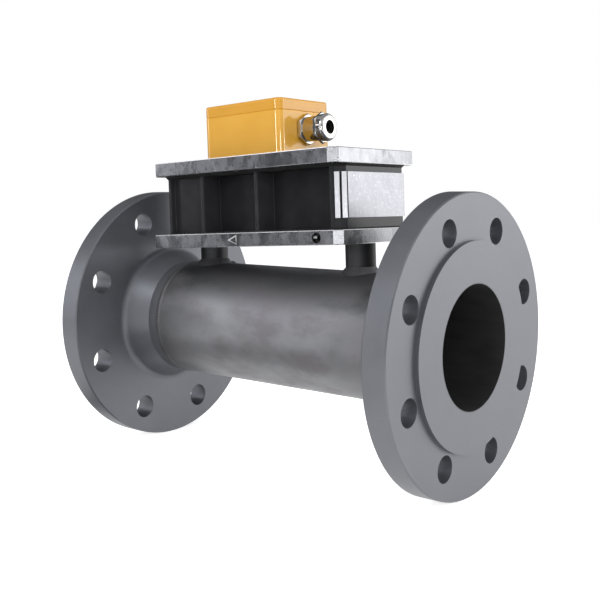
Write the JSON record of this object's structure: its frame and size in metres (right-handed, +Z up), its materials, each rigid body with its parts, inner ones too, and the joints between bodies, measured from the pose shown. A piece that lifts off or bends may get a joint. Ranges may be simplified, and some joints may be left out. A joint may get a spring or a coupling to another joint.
{
  "type": "oscillation flow meter",
  "caption": "Flanged pipe spool with weld necks bridged by a ribbed black fluidic oscillator head, with steel plates, an ochre electronics box and a cable gland.",
  "frame": {"origin": "centre of the inlet flange's bolt circle, in the plane the bolt holes open on, 3 mm behind the raised face", "axes": "+X along the pipe axis and out of the inlet, +Z up through the head, +Y across, away from the side with the flow arrow"},
  "size_m": [0.3, 0.2, 0.2662],
  "materials": {
    "turned_steel": "turned, satin",
    "pipe_steel": "satin, heat-tinted",
    "weld_steel": "as welded, brushed",
    "zinc_plate": "zinc spangle",
    "zinc_sheet": "zinc spangle",
    "bright_steel": "bright",
    "black_moulding": "glossy",
    "seal_rubber": "matt",
    "ochre_paint": "glossy",
    "nickel_plate": "polished nickel",
    "board_green": "satin",
    "terminal_plastic": "matt",
    "chip_plastic": "matt",
    "can_aluminium": "satin",
    "slip_plastic": "smooth"
  },
  "bodies": {
    "meter": {"inlet_flange": "turned_steel", "outlet_flange": "turned_steel", "main_pipe": "pipe_steel", "girth_welds": "weld_steel", "orifice_plate": "turned_steel", "inlet_stub": "pipe_steel", "outlet_stub": "pipe_steel", "stub_welds": "weld_steel", "base_plate": "zinc_plate", "port_plug": "bright_steel", "lower_gasket": "seal_rubber", "oscillator_body": "black_moulding", "upper_gasket": "seal_rubber", "cover_plate": "zinc_plate", "clamp_screws": "bright_steel", "end_sheet": "zinc_sheet", "sensor_holder": "bright_steel", "sensor_o_ring": "seal_rubber", "sensor_probe": "bright_steel", "enclosure_seal": "seal_rubber", "enclosure_base": "ochre_paint", "enclosure_lid": "ochre_paint", "lid_seal": "seal_rubber", "enclosure_screws": "bright_steel", "lid_screws": "bright_steel", "board_screws": "bright_steel", "circuit_board": "board_green", "terminal_block": "terminal_plastic", "terminal_screws": "bright_steel", "processor_chip": "chip_plastic", "capacitors": "can_aluminium", "gland_washer": "seal_rubber", "gland_body": "nickel_plate", "gland_seal": "seal_rubber", "gland_locknut": "nickel_plate"},
    "gland_ring_body": {"gland_slip_ring": "slip_plastic"},
    "gland_nut_body": {"gland_nut": "nickel_plate"}
  },
  "joints": [
    {"name": "gland_nut_travel", "type": "slide", "parent": "meter", "child": "gland_ring_body", "axis": [0.9988, 0, 0.0489], "range_m": [0, 0.003]},
    {"name": "gland_nut_turn", "type": "hinge", "parent": "gland_ring_body", "child": "gland_nut_body", "pos_m": [-0.13645, 0, 0.14469], "axis": [0.9988, 0, 0.0489], "range_deg": [0, 720]}
  ],
  "couplings": [
    {"joint": "gland_nut_turn", "follows": "gland_nut_travel", "rad_per_m": 4188.8}
  ]
}
